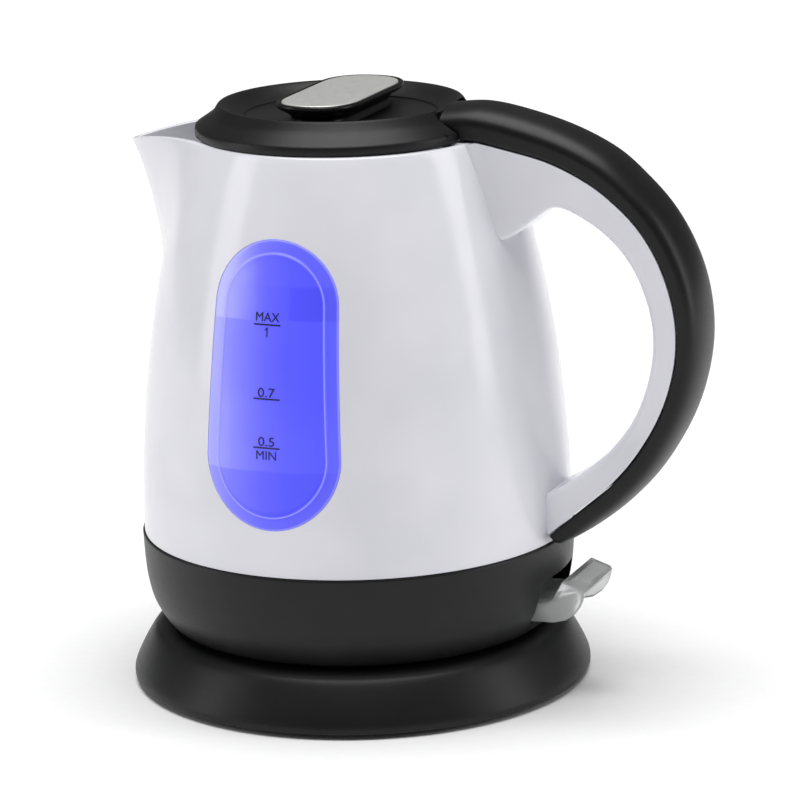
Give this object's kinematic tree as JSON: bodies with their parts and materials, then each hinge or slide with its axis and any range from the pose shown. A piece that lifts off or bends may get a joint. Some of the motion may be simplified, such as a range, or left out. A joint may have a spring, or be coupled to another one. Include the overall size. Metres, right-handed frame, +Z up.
{
  "type": "electric kettle",
  "caption": "Cordless electric kettle with a tapered body, pointed spout, loop handle, hinged lid, oval water window and tip switch, on a round power base.",
  "frame": {"origin": "on the kettle's axis, in the plane of the feet and of the hub under the power base, where the kettle stands", "axes": "+Z up, +X towards the handle and the switch, -X towards the spout, -Y towards the water window"},
  "size_m": [0.1974, 0.151, 0.1939],
  "materials": {
    "white": "smooth glossy white, slightly cool",
    "black": "black, fine satin texture",
    "grey": "grey, heat-resistant",
    "clear": "clear, polished",
    "window": "blue-violet, translucent",
    "silver": "satin silver",
    "steel": "plain steel",
    "rubber": "black, matt",
    "silicone": "off-white, matt",
    "bimetal": "copper-coloured strip metal",
    "board": "green circuit board"
  },
  "bodies": {
    "base": {"base_cover": "black", "base_plate": "black", "base_socket": "black", "cord_gland": "rubber", "base_foot_1": "rubber", "base_foot_2": "rubber", "base_foot_3": "rubber", "base_foot_4": "rubber", "base_screw_1": "steel", "base_screw_2": "steel", "base_screw_3": "steel"},
    "connector": {"kettle_connector": "grey"},
    "kettle": {"body_shell": "white", "handle_inner": "white", "spout_filter_frame": "white", "lower_band": "black", "bottom_cover": "black", "control_block": "black", "handle_grip": "black", "steam_tube": "grey", "led_1": "clear", "led_2": "clear", "water_window": "window", "heater_plate": "steel", "heating_element": "steel", "hinge_pin": "steel", "lever_pin": "steel", "bottom_screw_1": "steel", "bottom_screw_2": "steel", "bottom_screw_3": "steel", "spout_filter_mesh": "steel", "plate_seal": "silicone", "bimetal_disc": "bimetal", "led_board": "board"},
    "lid": {"lid_cover": "black", "lid_liner": "white", "lid_seal": "silicone", "lid_knob": "black", "knob_plate": "silver", "knob_screw": "steel"},
    "lever": {"switch_lever": "clear"}
  },
  "joints": [
    {"name": "kettle_lift", "type": "slide", "parent": "base", "child": "connector", "axis": [0, 0, 1], "range_m": [0, 0.06]},
    {"name": "kettle_turn", "type": "hinge", "parent": "connector", "child": "kettle", "pos_m": [0, 0, 0.0197], "axis": [0, 0, 1], "continuous": true},
    {"name": "lid_hinge", "type": "hinge", "parent": "kettle", "child": "lid", "pos_m": [0.0405, 0, 0.1835], "axis": [0, 1, 0], "range_deg": [0, 55]},
    {"name": "switch_hinge", "type": "hinge", "parent": "kettle", "child": "lever", "pos_m": [0.058, 0, 0.03], "axis": [0, 1, 0], "range_deg": [-12, 0]}
  ]
}
